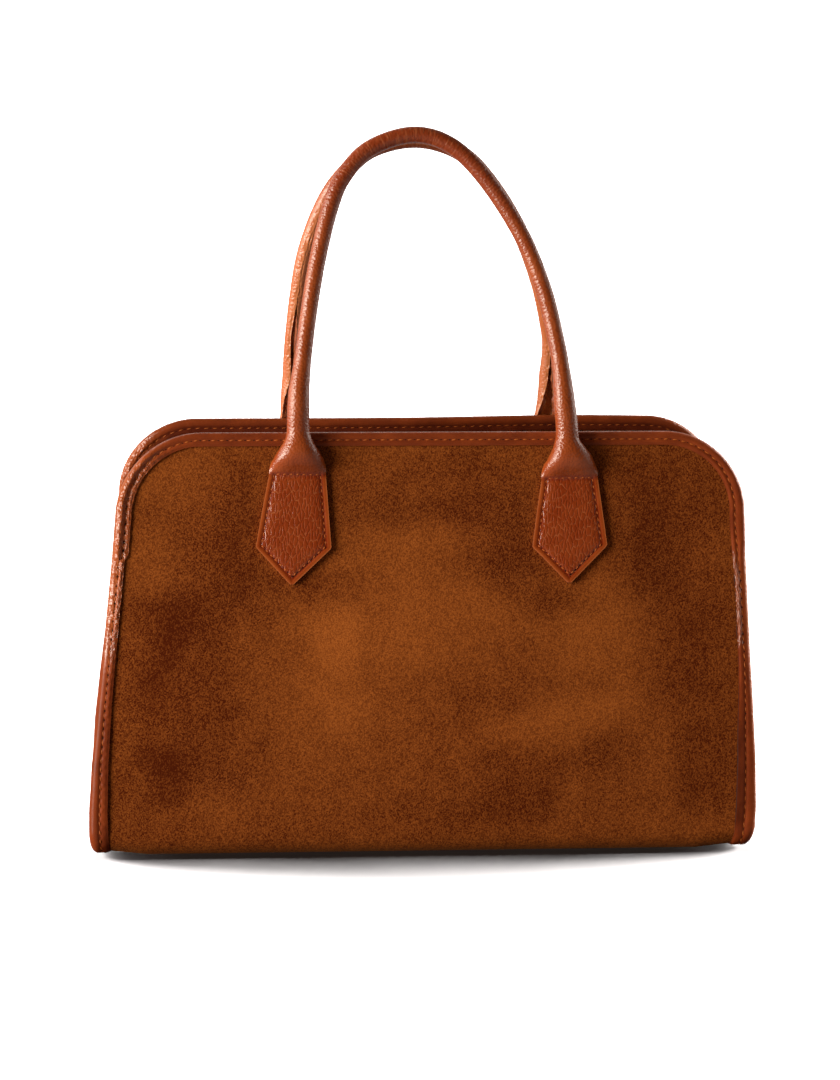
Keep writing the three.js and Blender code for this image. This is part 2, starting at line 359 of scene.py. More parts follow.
def suede_finish():
    material, start, surface = new_finish("brushed_suede", {**NAP_SHEEN, "Specular IOR Level": 0.03})
    cut = start.cut()
    tuft = cells(laid(cut, (1, 0.75, 1), 0.4), FIBRES, {}, {}, "Color")
    fibre = start.node("ShaderNodeSeparateColor", {}, {0: tuft}, "Red")
    pile = speckle(cut, PILE, 2, (1, 0.85, 1), 0.4)
    clump = speckle(cut, CLUMPS, 3, (1, 0.7, 1), -0.5)
    stroke = speckle(cut, STROKES, 4, (1, 0.45, 1), 0.7)
    specks = 0.64 * (fibre - 0.5) + 0.2 * (pile - 0.5) + 0.16 * (clump - 0.5)
    # nap_and_shade holds the nap's tone and, on the front's left, one patch of painted shade
    tone = 0.385 + 0.48 * start.kept("nap_and_shade") + specks + 0.26 * (stroke - 0.5)
    tone.tint(NAP_DARK, NAP_LIGHT).feeds(surface, "Base Color")
    (0.97 - 0.08 * tone).feeds(surface, "Roughness")
    set_bump(0.7 * pile + 0.3 * clump, surface, 0.45, 0.0005)
    return material


brushed_suede = suede_finish()
print("finish:", brushed_suede.name)

# %% [markdown]
# ## The leather
# The bindings and handles are smooth, oiled cowhide of a redder brown. Lying flat it shows its pebbled
# grain: long cells with broken creases between them, which are drawn paler as a painted highlight of the
# light that catches their edges. Pulled tight round a tube or a fold it loses them, and small bumps break up
# the highlight. Two numbers kept with the mesh, flat and tight, say how much of each a place shows. A third,
# called wear_and_painted_light, is high where the leather is bent over an edge or rubbed, and makes it paler;
# it also carries painted light: a pale highlight on the fold of the right bindings and, on the left binding,
# where it is pulled tight, and painted shade, darker on the bindings' inner legs and along the straps' seams.
# A fourth, bend, brings the short cross wrinkles of a tube that is bent into an arch, and darkens the top of
# the arch as painted shade. A slack strip is duller than a tight one, so a second, matte shader is mixed in
# where the leather isn't tight.

# %% Leather
# Darkest and lightest tone of each leather, and the pale tone of its worn places, which also paints the
# highlight on its creases
STRAP_TONES = (0.146, 0.0125, 0.0004, 1), (0.380, 0.0750, 0.0100, 1)
BINDING_TONES = (0.062, 0.0050, 0.0002, 1), (0.370, 0.0600, 0.0060, 1)
PALE_AND_HIGHLIGHT_TONE = (0.430, 0.1350, 0.0450, 1)
OILED = {"Specular IOR Level": 0.42, "Specular Tint": (1.0, 0.93, 0.80, 1)}
MATTE = {"Roughness": 0.8, "Specular IOR Level": 0.1}
LEATHER_KEEPS = ["flat", "tight", "wear_and_painted_light", "bend"]
# The leather's patterns, in spots to a metre, and how far the grain wanders, in metres
WANDER, GRAIN, BREAKS, WRINKLES, PORES, CLOUDS = 300.0, 560.0, 480.0, 640.0, 2600.0, 70.0
WANDER_REACH = (0.0014, 0.0014, 0.0)


def leather_finish(name, tones, pebbles, pebble_height, dullness):
    material, start, surface = new_finish(name, OILED)
    cut = start.cut()
    flat, tight, wear_and_painted_light, bend = (start.kept(word) for word in LEATHER_KEEPS)
    wander = start.node("ShaderNodeTexNoise", {}, {"Vector": cut, "Scale": WANDER, "Detail": 2.0}, "Color")
    pushed = {0: wander, 1: WANDER_REACH, 2: cut}
    bent = start.node("ShaderNodeVectorMath", {"operation": "MULTIPLY_ADD"}, pushed)
    grain = cells(laid(bent, (1, 0.38, 1), -0.3), GRAIN, {"feature": "DISTANCE_TO_EDGE"}, {})
    pebble = cells(bent, pebbles, {"feature": "SMOOTH_F1"}, {"Smoothness": 0.35})
    pillow = grain.between(0.0, 0.26)
    # The creases are drawn paler: a painted highlight where light catches their edges.
    painted_crease_highlight = (1 - grain.between(0.0, 0.07)) * speckle(cut, BREAKS, 2).between(0.44, 0.60)
    wrinkle = speckle(cut, WRINKLES, 2, (0.26, 1.5, 1)).between(0.50, 0.66)
    pore = speckle(cut, PORES, 2)
    cloud = speckle(cut, CLOUDS, 4)

    # The - 0.28 * bend term darkens the top of the arch: painted shade.
    shade = 0.28 + 0.55 * (cloud - 0.5) + 0.35 * (pore - 0.5) + 0.55 * wear_and_painted_light - 0.28 * bend
    plain = shade.between(-0.15, 1.0).tint(*tones)
    pale = 0.55 * flat * painted_crease_highlight + 0.24 * bend * wrinkle + 0.10 * tight + 0.70 * wear_and_painted_light.between(0.3, 0.9)
    colour = pale.tint(plain, PALE_AND_HIGHLIGHT_TONE)
    colour.feeds(surface, "Base Color")
    (0.27 + 0.20 * (cloud - 0.5)).feeds(surface, "Roughness")
    relief = 0.24 * flat * pillow - pebble_height * tight * pebble + 0.10 * bend * wrinkle + 0.08 * pore
    bump = set_bump(relief, surface, 0.7, 0.0006)

    matte = start.node("ShaderNodeBsdfPrincipled", {}, {"Base Color": colour, "Normal": bump, **MATTE})
    oiled = Field(start.tree, surface.outputs[0])
    share = dullness * (1 - tight.between(0.2, 0.8))
    mixed = start.node("ShaderNodeMixShader", {}, {0: share, 1: oiled, 2: matte})
    mixed.feeds(material.node_tree.nodes["Material Output"], "Surface")
    return material


strap_leather = leather_finish("strap_leather", STRAP_TONES, 800.0, 0.46, 0.15)
binding_leather = leather_finish("binding_leather", BINDING_TONES, 540.0, 0.70, 0.85)
print("finishes:", strap_leather.name, binding_leather.name)

# %% [markdown]
# Leather shows more than its grain side. The straps' cut edges are waxed, so they get a smooth finish with
# soft blots. The bindings' edges are drawn nearly black, painted shadow for the dark gap beside each binding.
# The flesh side, which shows where a strap isn't quite closed, is pale and rough. All three are one noise
# that sets colour, roughness and bump together.

# %% Edges and flesh side
BLOTS, FLESH_FIBRES = 420.0, 900.0
FLESH_TONES = (0.56, 0.230, 0.085, 1), (0.76, 0.360, 0.150, 1)


def edge_finish(name, dark, light):
    material, start, surface = new_finish(name, {"Specular IOR Level": 0.2})
    blot = speckle(start.place(), BLOTS, 3)
    blot.between(0.25, 0.8).tint(dark, light).feeds(surface, "Base Color")
    (0.62 - 0.2 * blot).feeds(surface, "Roughness")
    set_bump(blot, surface, 0.3, 0.0003)
    return material


def flesh_finish():
    material, start, surface = new_finish("flesh_side", {"Specular IOR Level": 0.1})
    fibre = speckle(start.cut(), FLESH_FIBRES, 3)
    fibre.between(0.3, 0.7).tint(*FLESH_TONES).feeds(surface, "Base Color")
    (0.98 - 0.1 * fibre).feeds(surface, "Roughness")
    set_bump(fibre, surface, 0.4, 0.0004)
    return material


waxed_edge = edge_finish("waxed_edge", (0.20, 0.038, 0.009, 1), (0.36, 0.085, 0.024, 1))
# Nearly black: painted shadow for the gap beside the bindings.
shadow_gap_edge = edge_finish("shadow_gap_edge", (0.020, 0.0040, 0.0010, 1), (0.050, 0.0100, 0.0030, 1))
flesh_side = flesh_finish()
print("finishes:", waxed_edge.name, shadow_gap_edge.name, flesh_side.name)

# %% [markdown]
# ## From a flat grid to a sewn piece
# Each leather piece starts as a flat grid, the way it is cut from a hide. Every corner of the grid is then
# carried to its place on the bag. That keeps the flat cut at hand as the UV map, so grain and nap follow the
# leather round its bends. The thickness comes from a Solidify modifier, whose rim takes the edge finish, and
# a small Bevel rounds the cut edges.


# %% Laying a grid
def new_object(name, bm):
    """The object of a finished bmesh, standing at the origin."""
    mesh = bpy.data.meshes.new(name)
    bm.to_mesh(mesh)
    bm.free()
    made = bpy.data.objects.new(name, mesh)
    scene.collection.objects.link(made)
    return made


def finish_piece(name, bm):
    """A piece of the bag, which rides on it."""
    piece = new_object(name, bm)
    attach(piece, "root")
    return piece


def lay_grid(name, columns, rows, kept, place, flip=False):
    """A grid of faces, each corner carried by place(column, row) to (point, cut in mm, numbers to keep)."""
    bm = bmesh.new()
    flat_cut = bm.loops.layers.uv.new("cut")
    layers = [bm.verts.layers.float.new(word) for word in kept]
    bmesh.ops.create_grid(bm, x_segments=columns, y_segments=rows, size=0.5)
    cut_of = {}
    for vert in bm.verts:
        column = round((vert.co.x + 0.5) * columns)
        row = round((vert.co.y + 0.5) * rows)
        point, cut, numbers = place(column, row)
        for layer, value in zip(layers, numbers):
            vert[layer] = value
        cut_of[vert.index] = Vector(cut) * MM
        vert.co = point
    for face in bm.faces:
        face.smooth = True
        for loop in face.loops:
            loop[flat_cut].uv = cut_of[loop.vert.index]
    if flip:
        bmesh.ops.reverse_faces(bm, faces=bm.faces[:])
    return finish_piece(name, bm)


def thicken(piece, thickness, finishes, edge=0, rounding=0.0, inner=0):
    """Gives a laid grid its thickness inwards, its finishes by number and its rounded edges."""
    for finish in finishes:
        piece.data.materials.append(finish)
    solid = piece.modifiers.new("thickness", "SOLIDIFY")
    solid.thickness = thickness * MM
    solid.offset = -1.0
    solid.material_offset_rim = edge
    solid.material_offset = inner
    if rounding:
        bevel = piece.modifiers.new("rounded edge", "BEVEL")
        bevel.width = rounding * MM
        bevel.segments = 3
        bevel.limit_method = "ANGLE"
        bevel.angle_limit = math.radians(50)
    return piece


def stands_for(piece, node):
    """Hides the solid that a finished piece stands in for, and prints the piece's number of faces."""
    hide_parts(node)
    print(piece.name, len(piece.data.polygons), "faces")
    return piece


print("grid helpers ready")

# %% [markdown]
# ## The wrap
# The wrap is the largest piece: both panels and the base in one cut of suede. Its rows run from the front's
# top edge down the panel, round the bend, along the base and up the back, and lie closer together where it
# bends. The nap's patches are listed as soft spots, light or dark, and pushed about by a slow noise so that
# no spot is a neat oval; the last, wide dark one is painted shade that darkens the left third of the front.
# The noise starts from a fixed seed, so that the bag is brushed the same way in every run.

# %% Suede wrap
# Brushed patches of the front, and at the end one wide patch of painted shade: x and h of the middle, reach
# across and up, tilt in degrees, tone
NAP_AND_SHADE_PATCHES = (
    (-45, 109, 9, 22, 6, 0.48), (-14, 114, 46, 20, 0, 0.50), (-1, 159, 34, 5, 0, 0.34),
    (-16, 142, 20, 13, 0, 0.26), (-58, 72, 17, 12, 0, 0.34), (-34, 72, 12, 11, 0, 0.32),
    (87, 108, 20, 34, -10, 0.42), (66, 66, 30, 8, 14, 0.40), (-144, 150, 18, 15, 0, 0.36),
    (-143, 194, 22, 10, 10, 0.25), (-118, 180, 22, 16, 0, 0.18), (-96, 112, 8, 8, 0, 0.22),
    (-85, 85, 14, 7, 0, 0.26), (4, 185, 18, 6, 0, 0.26), (73, 18, 6, 15, 0, 0.28), (-63, 24, 36, 14, 0, 0.12),
    (-136, 97, 8, 20, -22, -0.54), (-132, 48, 12, 7, 0, -0.66), (-129, 32, 9, 6, 0, -0.48),
    (-97, 164, 13, 24, 0, -0.44), (37, 149, 14, 14, 0, -0.46), (66, 127, 13, 8, 0, -0.50),
    (-54, 135, 16, 9, 0, -0.46), (-112, 122, 24, 12, 0, -0.28), (114, 150, 13, 22, 0, -0.42),
    (138, 108, 18, 36, 0, -0.33), (142, 42, 16, 20, 0, -0.46), (68, 45, 32, 8, 4, -0.30),
    (50, 28, 14, 7, 0, -0.42), (-110, 68, 13, 24, 0, -0.24), (-12, 18, 40, 8, 0, -0.18),
    # The last patch, at (-130, 105), is painted shade that darkens the front's left third.
    (122, 186, 30, 18, 0, -0.34), (20, 178, 44, 16, 0, -0.24), (-130, 105, 42, 90, 0, -0.20),
)
WRAP_COLUMNS = 120
BASE_ROWS, BEND_ROWS, PANEL_STEP = 7, 10, 2.3
NAP_WANDER, WANDER_SPOT, NAP_SEED = 7.0, 26.0, 383
BACK_CONTRAST = 1.5
noise.seed_set(NAP_SEED)


def nap_and_shade_at(side, x, h):
    """Tone of the brushed nap, with a patch of painted shade on the front's left, from -1 dark to 1 light."""
    drift = noise.noise_vector(Vector((x / WANDER_SPOT, h / WANDER_SPOT, 4.0 * side)))
    tone = 0.24 * noise.fractal(Vector((x / 48, h / 34, 9.0 + side)), 1.0, 2.0, 3)
    tone += 0.11 * noise.fractal(Vector((x / 13, h / 11, 3.0 + side)), 1.0, 2.0, 3)
    if side == BACK:
        return tone * BACK_CONTRAST
    x, h = x + NAP_WANDER * drift.x, h + NAP_WANDER * drift.y
    for at_x, at_h, reach_x, reach_h, tilt, weight in NAP_AND_SHADE_PATCHES:
        turn = math.radians(tilt)
        across, up = x - at_x, h - at_h
        along_x = (across * math.cos(turn) + up * math.sin(turn)) / reach_x
        along_h = (up * math.cos(turn) - across * math.sin(turn)) / reach_h
        tone += weight * math.exp(-((along_x ** 2 + along_h ** 2) ** 1.3) / 2)
    return tone


def wall_stations(top):
    """Stations from the middle of the base to a panel's top, close together round the bend."""
    base = np.linspace(H_MIDDLE, H_BEND_LOW, BASE_ROWS + 1)[:-1]
    bend = np.linspace(H_BEND_LOW, H_BEND_TOP, BEND_ROWS + 1)[:-1]
    panel = np.linspace(H_BEND_TOP, top, round((top - H_BEND_TOP) / PANEL_STEP))
    return [*base, *bend, *panel]


def wrap_piece():
    up = wall_stations(H_TOP - EDGE_INSET)
    rows = [(FRONT, h) for h in reversed(up)] + [(BACK, h) for h in up[1:]]

    def place(column, row):
        side, h = rows[row]
        x = (2 * column / WRAP_COLUMNS - 1) * half_width(side, h, EDGE_INSET)
        return on_wall(side, x, h), (x, side * (h - H_MIDDLE)), [nap_and_shade_at(side, x, h)]

    return lay_grid("suede_wrap", WRAP_COLUMNS, len(rows) - 1, ["nap_and_shade"], place, flip=True)


suede_wrap = stands_for(thicken(wrap_piece(), SUEDE, [brushed_suede]), "body")

# %% [markdown]
# ## The gussets
# A gusset is the soft end wall. Its rim turns outwards along both panels and the base, where the bindings
# hold it, and its middle folds inwards so that the bag can be pushed flat. The grid has one strip of faces
# for each rim and many for the wall, which bows inwards more and more towards its free top.

# %% Gussets
GUSSET_INSET = 10.6
GUSSET_BOW, GUSSET_RIPPLE = 7.0, 0.8
GUSSET_COLUMNS, GUSSET_ROWS = 30, 64
GUSSET_CUT = 120.0
GUSSET_ROUNDING = 0.5


def gusset_piece(name, end):
    heights = np.linspace(H_BEND_LOW, H_GUSSET, GUSSET_ROWS)
    out = -SUEDE - GAP - GUSSET

    def place(column, row):
        h = heights[max(0, row - 1)]
        t = min(1.0, max(0.0, (column - 1) / (GUSSET_COLUMNS - 2)))
        tip = {side: end * (half_width(side, h, EDGE_INSET) - 0.2) for side in (FRONT, BACK)}
        root = {side: end * half_width(side, h, GUSSET_INSET) for side in (FRONT, BACK)}
        cut = (end * (t - 0.5) * GUSSET_CUT, h)
        numbers = [1.3 * nap_and_shade_at(BACK, 300 * end + GUSSET_CUT * t, h) - 0.1]
        if row == 0:
            y = (2 * t - 1) * BASE_FLAT
            side = FRONT if y < 0 else BACK
            return on_wall(side, tip[side], H_MIDDLE + abs(y), out), cut, numbers
        if column in (0, GUSSET_COLUMNS):
            side = FRONT if column == 0 else BACK
            return on_wall(side, tip[side], h, out), cut, numbers
        point = on_wall(FRONT, root[FRONT], h, out).lerp(on_wall(BACK, root[BACK], h, out), t)
        fold = GUSSET_BOW * max(0.0, h / H_GUSSET) * (1 - (2 * t - 1) ** 2)
        ripple = GUSSET_RIPPLE * noise.noise(Vector((t * 3, h / 40, 5.0 * end))) * math.sin(math.pi * t)
        point.x -= end * (fold + ripple) * MM
        return point, cut, numbers

    return lay_grid(name, GUSSET_COLUMNS, GUSSET_ROWS, ["nap_and_shade"], place, flip=end < 0)


for end, word in ENDS:
    gusset = thicken(gusset_piece(f"{word}_end", end), GUSSET, [brushed_suede], rounding=GUSSET_ROUNDING)
    stands_for(gusset, f"{word}_gusset")

# %% [markdown]
# ## The bindings
# A binding is a strip of leather folded over a raw edge and sewn through. Below the gusset's top it holds
# the panel and the gusset, so it is fat there; above, it holds only the panel and is slim. The seam pulls
# the strip down into a groove, and the folded part rolls up beside it. No sewn bag is quite the same on both
# sides, and what differs is kept in one table with a row for each side.

# %% Binding sizes
# Width of the outer leg at stations up the wall, and the share of it that lies outside the seam
LEG_H = (-70, 6, 50, 77, 105, 149.5, 152, 178, 196, 214)
LEG_COLUMNS = {
    "width": (9.4, 9.8, 8.2, 7.2, 6.7, 6.6, 8.2, 8.2, 7.6, 7.2),
    "seam": (0.57, 0.57, 0.56, 0.54, 0.54, 0.54, 0.66, 0.66, 0.60, 0.58),
}
INNER_LEG, INNER_SEAM, INNER_RELIEF = 7.6, 4.6, 0.35
OUTER_COLUMNS, FOLD_COLUMNS, INNER_COLUMNS = 14, 14, 8
BINDING_COLUMNS = OUTER_COLUMNS + FOLD_COLUMNS + INNER_COLUMNS

# How each side is sewn. blur: how softly the leg's width changes; foot: how much wider the leg's foot is;
# lean: how far its inner edge leans out; tight: the stations where it begins to be pulled tight, is fully
# tight, eases and is slack again; roll, wear_and_painted_light and pucker: what the pull brings, where the
# paler colour on the left also stands for the light on that side, a painted highlight; inside: how much of
# the pull stays inside the seam; fold_gloss and fold_painted_highlight: how the fold looks, the second
# painting the fold's rim paler as a highlight, strongly on the right
SEWN = {
    # On the left, the paler colour of the pulled leather also stands for the light on it: painted highlight.
    LEFT: {"blur": 0.5, "foot": 0.0, "lean": 0.2, "tight": (85, 125, 196, 214), "roll": 0.85, "wear_and_painted_light": 0.42,
           "pucker": 0.34, "inside": 0.0, "fold_gloss": 0.0, "fold_painted_highlight": 0.1},
    RIGHT: {"blur": 12.0, "foot": 1.2, "lean": 1.5, "tight": (100, 112, 138, 162), "roll": 0.0, "wear_and_painted_light": 0.15,
            "pucker": 0.0, "inside": 1.0, "fold_gloss": 0.8, "fold_painted_highlight": 1.1},
}
# Stations between which the gusset's layer ends, the wide foot narrows, the lean fades and the foot's end is
# thin
LAYER_END, FOOT_FADE, LEAN_FADE, FOOT_END = (150.0, 158.0), (50.0, 100.0), (40.0, 95.0), (3.0, 18.0)
# Heights and reaches of the relief, plain and with what a full pull adds
GROOVE, TIGHT_GROOVE = 0.32, 0.45
GROOVE_REACH, TIGHT_REACH = 0.75, 0.25
ROLL, ROLL_AT, ROLL_REACH = 0.18, 0.55, 0.3
LEAN_PIVOT, FOOT_THIN = 0.75, 0.8
THIN_EDGE, THIN_REACH = 0.45, 1.6
print("section columns:", BINDING_COLUMNS)

# %% [markdown]
# From these sizes the section is worked out at any place: first a point on the outer leg, then round the
# fold, then along the inner leg. What the seam does to the leather is one small height, which is added to
# the outer face in full and to the inner one in part.


# %% Binding section
def outer_leg(end, h):
    """Width of the outer leg and its seam's distance from the outer edge."""
    near = h + SEWN[end]["blur"] * np.linspace(-1, 1, 7)
    width, seam = (float(np.mean(np.interp(near, LEG_H, LEG_COLUMNS[name]))) for name in ("width", "seam"))
    width += SEWN[end]["foot"] * (1 - eased(*FOOT_FADE, h))
    return width, seam * width


def held_layers(h):
    """Thickness of what the binding is folded over."""
    return SUEDE + (GAP + GUSSET) * (1 - eased(*LAYER_END, h))


def pulled_tight(end, h):
    """How tight the leather of one side's binding is, from 0 to 1."""
    begins, full, eases, slack = SEWN[end]["tight"]
    return eased(begins, full, h) * (1 - eased(eases, slack, h))


def binding_relief(end, h, inset, leg, seam):
    """The groove that the seam pulls, the roll beside it, the lean and the thinned end of the leg."""
    tight = pulled_tight(end, h)
    groove = (GROOVE + TIGHT_GROOVE * tight) * bell(inset - seam, GROOVE_REACH + TIGHT_REACH * tight)
    rolled = (ROLL + SEWN[end]["roll"] * tight) * bell(inset - ROLL_AT * seam, ROLL_REACH * seam)
    inside = max(0.0, inset - seam) / (leg - seam)
    foot = 1 - eased(*FOOT_END, h)
    lean = SEWN[end]["lean"] * (1 - eased(*LEAN_FADE, h)) * (1 - foot)
    leaning = lean * (inside - LEAN_PIVOT) - FOOT_THIN * foot * inside
    thinned = THIN_EDGE * (1 - eased(0.0, THIN_REACH, leg - inset)) * max(0.0, 1 - lean)
    return rolled - groove + leaning - thinned


def binding_section(end, h, column):
    """Inset from the binding's outer edge, height out of the suede's face, and how far out on the fold this
    is, which is below 0 on the inner leg, where it darkens the leather as painted shade."""
    layers = held_layers(h)
    radius = layers / 2 + GAP + BINDING
    leg, seam = outer_leg(end, h)
    if column < OUTER_COLUMNS:
        inset = leg + (radius - leg) * column / OUTER_COLUMNS
        return inset, GAP + BINDING + binding_relief(end, h, inset, leg, seam), 0.0
    if column <= OUTER_COLUMNS + FOLD_COLUMNS:
        turn = math.pi / 2 - math.pi * (column - OUTER_COLUMNS) / FOLD_COLUMNS
        wide = radius + binding_relief(end, h, radius, leg, seam) * max(0.0, math.sin(turn))
        return radius - radius * math.cos(turn), -layers / 2 + wide * math.sin(turn), math.cos(turn) ** 2
    t = (column - OUTER_COLUMNS - FOLD_COLUMNS) / INNER_COLUMNS
    inset = radius + (INNER_LEG - radius) * t
    relief = INNER_RELIEF * binding_relief(end, h, inset, INNER_LEG, INNER_SEAM)
    # Below 0 on the inner leg: this darkens the inner leg's colour, painted shade inside the bag's mouth.
    return inset, -layers - GAP - BINDING - relief, -0.4 * eased(0.0, 0.3, t)


print("foot and top of the left leg:", outer_leg(LEFT, 0)[0], outer_leg(LEFT, H_TOP)[0])

# %% [markdown]
# The section is then swept along the panel's edge, station by station: from the middle of the base up the
# right side, round the corners and down the left. On the left side the leather kinks where the gusset's
# layer ends, and small puckers stand between the stitches. A fine noise, stronger where the leather is
# tight, keeps the strip from looking cast.

# %% Bindings
BASE_STEP, SIDE_STEP, TOP_STEP = 6.0, 1.2, 2.5
BEND_STATIONS, CORNER_STATIONS = 13, 46
BINDING_PITCH = 4.5
# Kinks across the left side where its thickness changes: h, reach, depth
KINKS = ((151.2, 1.0, 0.33), (154.6, 0.8, 0.45), (158.8, 1.4, 0.21))
PUCKER_INSIDE, PUCKER_REACH = 1.3, 1.1
SEAM_BLUR = 0.6
TIGHT_LEAST, TIGHT_PULL, TOP_GLOSS = 0.15, 1.1, 0.6
CRINKLE_LEAST, CRINKLE_TIGHT = 0.04, 0.42
CUT_STEP, BINDING_ROUNDING = 0.8, 0.25


def edge_stations(side):
    """Stations along a panel's edge: x and h on the outer edge, the way out of the panel, the run so far."""
    radius, start, straight = CORNERS[side]
    lower = [H_MIDDLE + GAP / 2, *np.arange(H_MIDDLE + 4, H_BEND_LOW, BASE_STEP)]
    lower += np.linspace(H_BEND_LOW, H_BEND_TOP, BEND_STATIONS).tolist()
    lower += np.arange(H_BEND_TOP + SIDE_STEP, start, SIDE_STEP).tolist()
    right = [(half_width(side, h, 0), h, 1.0, 0.0) for h in lower]
    for angle in np.linspace(0, math.pi / 2, CORNER_STATIONS):
        out_x, out_h = math.cos(angle), math.sin(angle)
        right.append((straight + radius * out_x, start + radius * out_h, out_x, out_h))
    top = [(x, H_TOP, 0.0, 1.0) for x in np.arange(straight - TOP_STEP, TOP_STEP - straight, -TOP_STEP)]
    left = [(-x, h, -out_x, out_h) for x, h, out_x, out_h in reversed(right)]
    run, stations = 0.0, []
    for x, h, out_x, out_h in right + top + left:
        if stations:
            run += math.hypot(x - stations[-1][0], h - stations[-1][1])
        stations.append((x, h, out_x, out_h, run))
    return stations


def kink(h, column):
    """Depth of the kinks across the left side's binding."""
    wave = 1.5 * math.sin(7 * column / BINDING_COLUMNS - 1)
    return sum(deep * bell(h - at - wave, reach) for at, reach, deep in KINKS)


def binding_piece(name, side):
    stations = edge_stations(side)

    def place(column, row):
        x, h, out_x, out_h, run = stations[row]
        end = LEFT if x < 0 else RIGHT
        sewn, pull = SEWN[end], pulled_tight(end, h)
        inset, out, fold = binding_section(end, h, column)
        past_seam = inset - outer_leg(end, h)[1]
        inside = 1 - sewn["inside"] * (1 - eased(-SEAM_BLUR, SEAM_BLUR, past_seam))
        drawn = TIGHT_LEAST + TIGHT_PULL * pull * inside
        crinkle = CRINKLE_LEAST + CRINKLE_TIGHT * drawn
        out += crinkle * noise.noise(Vector((run / 1.8, column / 4.5, 3.0 * side)))
        if column <= OUTER_COLUMNS + FOLD_COLUMNS // 2 and out_x == -1.0:
            out -= kink(h, column)
        if column < OUTER_COLUMNS:
            wave = math.cos(2 * math.pi * run / BINDING_PITCH)
            out += sewn["pucker"] * abs(out_x) * wave * bell(past_seam - PUCKER_INSIDE, PUCKER_REACH)
        rim = max(0.0, fold) * abs(out_x)
        tight = drawn + sewn["fold_gloss"] * rim + TOP_GLOSS * max(0.0, fold) * out_h
        # The fold's rim is painted paler as a highlight, the inner leg darker as painted shade, and the
        # pulled leather paler, on the left partly as painted highlight.
        wear_and_painted_light = sewn["fold_painted_highlight"] * rim + min(0.0, fold) + sewn["wear_and_painted_light"] * pull
        point = on_wall(side, x - inset * out_x, h - inset * out_h, out)
        return point, (column * CUT_STEP, run), [0.0, tight, wear_and_painted_light, 0.0]

    return lay_grid(name, BINDING_COLUMNS, len(stations) - 1, LEATHER_KEEPS, place, flip=side == BACK)


bindings = []
for side, word in PANELS:
    binding = binding_piece(f"{word}_edge_binding", side)
    thicken(binding, BINDING, [binding_leather, shadow_gap_edge], edge=1, rounding=BINDING_ROUNDING)
    bindings.append(stands_for(binding, f"{word}_binding"))

# %% [markdown]
# ## The handles
# A handle is one strap. At each end it is a flat, five-sided tab; above the tab's cross seam it curls,
# narrows and closes into a tube, edge against edge, with the slit towards the inside of the bag. So the
# section is always the same thing, a strip bent through an angle: almost none in the tab and nearly a full
# turn in the tube. A curve with a round bevel would make the tube, but not the tabs and not the way one
# grows out of the other. The tables say how the section changes up one end, and where the middle lines of
# the two straps run.

# %% Strap sizes
# One end of a strap from the tab's point upwards: half of its seen width, the angle that its edge is turned
# down by, how late across the strip it turns, and its clearance from the wall
END_H = (137, 155.5, 174, 192, 194.5, 197, 199.5, 203, 207.5, 211, 215, 219, 226, 234, 248, 262)
END_COLUMNS = {
    "half": (0.9, 19.1, 16.8, 14.4, 14.4, 14.1, 13.2, 11.3, 8.3, 6.2, 5.7, 5.65, 5.6, 5.3, 4.4, 4.25),
    "tilt": (0.02, 0.03, 0.04, 0.10, 0.70, 1.25, 1.5, 1.65, 1.85, 2.05, 2.2, 2.32, 2.6, 2.92, 3.08, 3.12),
    "late": (1, 1, 1, 2, 2.4, 1.9, 1.7, 1.5, 1.3, 1.15, 1.05, 1, 1, 1, 1, 1),
    "clear": (0.3, 0.3, 0.3, 0.3, 0.3, 0.4, 0.7, 1.3, 2.1, 2.2, 2.2, 2.2, 2.2, 2.2, 2.2, 2.2),
}
# The middle lines of the four ends, as x at stations up the wall
LINE_H = (137, 155.5, 174, 192, 199.5, 207.5, 213, 219, 226, 234)
END_LINES = {
    (FRONT, LEFT): (-70.4, -70.0, -69.5, -68.9, -68.8, -69.0, -69.2, -69.3, -69.1, -68.8),
    (FRONT, RIGHT): (70.3, 70.1, 69.6, 69.2, 68.7, 67.4, 67.1, 66.7, 65.9, 65.3),
    (BACK, LEFT): (-69.7, -69.3, -68.8, -68.2, -68.1, -68.3, -68.5, -68.6, -68.4, -68.1),
    (BACK, RIGHT): (66.5, 66.1, 65.6, 65.0, 64.8, 64.8, 65.6, 66.4, 66.8, 66.6),
}
# The arches between them, as x and h
ARCHES = {
    FRONT: (
        (-66.7, 250), (-63.5, 274), (-58.8, 301), (-52.3, 327), (-45.4, 343), (-32, 357.3), (-10.4, 364.4),
        (8.5, 359.5), (25.5, 343.5), (44.0, 315), (55.7, 286), (61.9, 260), (64.2, 246),
    ),
    BACK: (
        (-68.3, 250), (-66.2, 275), (-61.9, 302), (-53.1, 327), (-42.9, 343), (-28.4, 356), (-6.4, 361.2),
        (15.1, 355.5), (30.9, 341), (47.7, 315), (59.3, 286), (65.5, 260), (66.8, 248),
    ),
}
# Places where a tube's slit gapes: side, end, h, reach, angle
SLIT_GAPS = ((BACK, LEFT, 258.0, 12.0, 0.30), (BACK, LEFT, 222.0, 7.0, 0.12))
# How much lower each end's cross seam lies, and the stations over which that grows
SEAM_DROP, DROP_GROWS = {LEFT: 0.0, RIGHT: 2.4}, (150.0, 190.0)
# The curl grows softly: sizes are averaged over this reach, from the cross seam up
CURL_REACH, CURL_GROWS = 2.0, (193.0, 199.0)
H_ARCH, H_CROSS_SEAM = 234.0, 192.6
STRAP_STEP, ARCH_STEPS, SECTION_STEPS = 1.1, 16, 64
print("arch points:", {word: len(ARCHES[side]) for side, word in PANELS})

# %% [markdown]
# A station holds all that is needed at one place of a strap's middle line: the bent section, its clearance
# from the wall and the direction along the strap. A smooth line through the arch's points joins the two
# ends.


